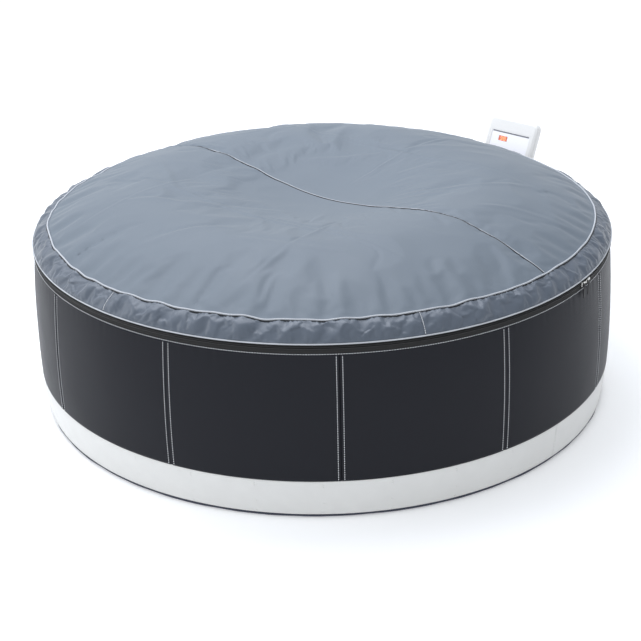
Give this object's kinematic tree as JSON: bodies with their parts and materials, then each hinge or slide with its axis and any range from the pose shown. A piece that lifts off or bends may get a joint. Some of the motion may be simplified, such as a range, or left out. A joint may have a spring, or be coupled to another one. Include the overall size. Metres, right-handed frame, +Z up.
{
  "type": "inflatable hot tub",
  "caption": "Round inflatable hot tub with a stitched jacket, pale base band, zipped folding lid and an outboard pump and heater console.",
  "frame": {"origin": "on the ground at the centre of the round tub, on the underside of the ground mat", "axes": "+Z up, +Y from the tub's centre to the console, +X along the seam across the lid"},
  "size_m": [2.0393, 2.3001, 0.745],
  "materials": {
    "mat": "foam-backed cloth",
    "grey_pvc": "welded sheet",
    "white_pvc": "satin vinyl",
    "leatherette": "embossed and stitched",
    "zipper_tape": "woven tape",
    "lid_cloth": "coated cloth",
    "foil": "metallised film",
    "nickel": "plated",
    "dark_rubber": "moulded",
    "pipe_grey": "moulded",
    "filter_fleece": "pleated fleece",
    "console_white": "moulded",
    "overlay": "film",
    "display": "tinted window",
    "button_grey": "moulded",
    "motor_black": "painted",
    "heater_steel": "drawn tube",
    "board_green": "solder mask"
  },
  "bodies": {
    "tub": {"ground_mat": "mat", "floor_sheet": "grey_pvc", "outer_wall_sheet": "grey_pvc", "inner_wall_sheet": "grey_pvc", "rim_sheet": "grey_pvc", "tie_web": "grey_pvc", "bubble_ring": "grey_pvc", "base_band": "white_pvc", "jacket_section_1": "leatherette", "jacket_section_2": "leatherette", "jacket_section_3": "leatherette", "jacket_section_4": "leatherette", "jacket_section_5": "leatherette", "jacket_section_6": "leatherette", "zipper_tape_tub": "zipper_tape", "suction_pipe": "pipe_grey", "return_pipe": "pipe_grey", "air_pipe": "pipe_grey", "filter_base": "pipe_grey", "return_nozzle": "pipe_grey", "inflation_valve_body": "pipe_grey", "drain_valve_body": "pipe_grey", "console_front_shell": "console_white", "console_rear_shell": "console_white", "control_overlay": "overlay", "display_window": "display", "pump_housing": "motor_black", "blower_housing": "motor_black", "heater_tube": "heater_steel", "main_board": "board_green", "cable_gland": "dark_rubber"},
    "rear_lid": {"lid_rear_top": "lid_cloth", "lid_rear_skirt": "lid_cloth", "bladder_rear": "grey_pvc", "lid_rear_liner": "foil", "zipper_tape_lid_rear": "zipper_tape"},
    "front_lid": {"lid_front_top": "lid_cloth", "lid_front_skirt": "lid_cloth", "bladder_front": "grey_pvc", "lid_front_liner": "foil", "zipper_tape_lid_front": "zipper_tape"},
    "left_slider": {"slider_left": "nickel"},
    "left_pull": {"slider_left_pull": "dark_rubber"},
    "right_slider": {"slider_right": "nickel"},
    "right_pull": {"slider_right_pull": "dark_rubber"},
    "suction_nut": {"suction_union_nut": "pipe_grey"},
    "return_nut": {"return_union_nut": "pipe_grey"},
    "air_nut": {"air_union_nut": "pipe_grey"},
    "cartridge": {"filter_cartridge": "filter_fleece"},
    "cartridge_cap": {"filter_cap": "pipe_grey"},
    "valve_cap": {"inflation_valve_cap": "pipe_grey"},
    "drain_cap": {"drain_valve_cap": "pipe_grey"},
    "heat_key": {"button_heat": "button_grey"},
    "filter_key": {"button_filter": "button_grey"},
    "bubble_key": {"button_bubble": "button_grey"},
    "down_key": {"button_down": "button_grey"},
    "lock_key": {"button_lock": "button_grey"},
    "up_key": {"button_up": "button_grey"},
    "impeller": {"pump_impeller": "pipe_grey"},
    "fan": {"blower_fan": "pipe_grey"}
  },
  "joints": [
    {"name": "lid_lift", "type": "slide", "parent": "tub", "child": "rear_lid", "axis": [0, 0, 1], "range_m": [0, 0.6]},
    {"name": "lid_fold", "type": "hinge", "parent": "rear_lid", "child": "front_lid", "pos_m": [0, 0, 0.748], "axis": [-1, 0, 0], "range_deg": [0, 175]},
    {"name": "left_slider_run", "type": "hinge", "parent": "tub", "child": "left_slider", "pos_m": [0, 0, 0.5817], "axis": [0, 0, 1], "range_deg": [-165, 0]},
    {"name": "right_slider_run", "type": "hinge", "parent": "tub", "child": "right_slider", "pos_m": [0, 0, 0.5817], "axis": [0, 0, 1], "range_deg": [0, 150]},
    {"name": "left_pull_swing", "type": "hinge", "parent": "left_slider", "child": "left_pull", "pos_m": [1.00605, 0.13745, 0.5837], "axis": [0.1354, -0.9908, 0], "range_deg": [0, 120]},
    {"name": "right_pull_swing", "type": "hinge", "parent": "right_slider", "child": "right_pull", "pos_m": [1.00112, 0.16969, 0.5837], "axis": [0.1671, -0.9859, 0], "range_deg": [0, 120]},
    {"name": "suction_nut_turn", "type": "hinge", "parent": "tub", "child": "suction_nut", "pos_m": [-0.07, 1.045, 0.2], "axis": [0, 1, 0], "range_deg": [0, 360]},
    {"name": "return_nut_turn", "type": "hinge", "parent": "tub", "child": "return_nut", "pos_m": [0.07, 1.045, 0.2], "axis": [0, 1, 0], "range_deg": [0, 360]},
    {"name": "air_nut_turn", "type": "hinge", "parent": "tub", "child": "air_nut", "pos_m": [0, 1.045, 0.045], "axis": [0, 1, 0], "range_deg": [0, 360]},
    {"name": "cartridge_slide", "type": "slide", "parent": "tub", "child": "cartridge", "axis": [0, -1, 0], "range_m": [0, 0.12]},
    {"name": "cartridge_cap_pull", "type": "slide", "parent": "cartridge", "child": "cartridge_cap", "axis": [0, -1, 0], "range_m": [0, 0.03]},
    {"name": "valve_cap_pull", "type": "slide", "parent": "tub", "child": "valve_cap", "axis": [-0.5, 0.866, 0], "range_m": [0, 0.015]},
    {"name": "drain_cap_pull", "type": "slide", "parent": "tub", "child": "drain_cap", "axis": [-0.866, 0.5, 0], "range_m": [0, 0.03]},
    {"name": "heat_key_press", "type": "slide", "parent": "tub", "child": "heat_key", "axis": [0, 0.9209, -0.3899], "range_m": [0, 0.0015], "stiffness_N_per_m": 1000},
    {"name": "filter_key_press", "type": "slide", "parent": "tub", "child": "filter_key", "axis": [0, 0.9209, -0.3899], "range_m": [0, 0.0015], "stiffness_N_per_m": 1000},
    {"name": "bubble_key_press", "type": "slide", "parent": "tub", "child": "bubble_key", "axis": [0, 0.9209, -0.3899], "range_m": [0, 0.0015], "stiffness_N_per_m": 1000},
    {"name": "down_key_press", "type": "slide", "parent": "tub", "child": "down_key", "axis": [0, 0.9209, -0.3899], "range_m": [0, 0.0015], "stiffness_N_per_m": 1000},
    {"name": "lock_key_press", "type": "slide", "parent": "tub", "child": "lock_key", "axis": [0, 0.9209, -0.3899], "range_m": [0, 0.0015], "stiffness_N_per_m": 1000},
    {"name": "up_key_press", "type": "slide", "parent": "tub", "child": "up_key", "axis": [0, 0.9209, -0.3899], "range_m": [0, 0.0015], "stiffness_N_per_m": 1000},
    {"name": "impeller_spin", "type": "hinge", "parent": "tub", "child": "impeller", "pos_m": [-0.07, 1.108, 0.2], "axis": [0, 1, 0], "continuous": true},
    {"name": "fan_spin", "type": "hinge", "parent": "tub", "child": "fan", "pos_m": [0, 1.14, 0.395], "axis": [0, 1, 0], "continuous": true}
  ]
}
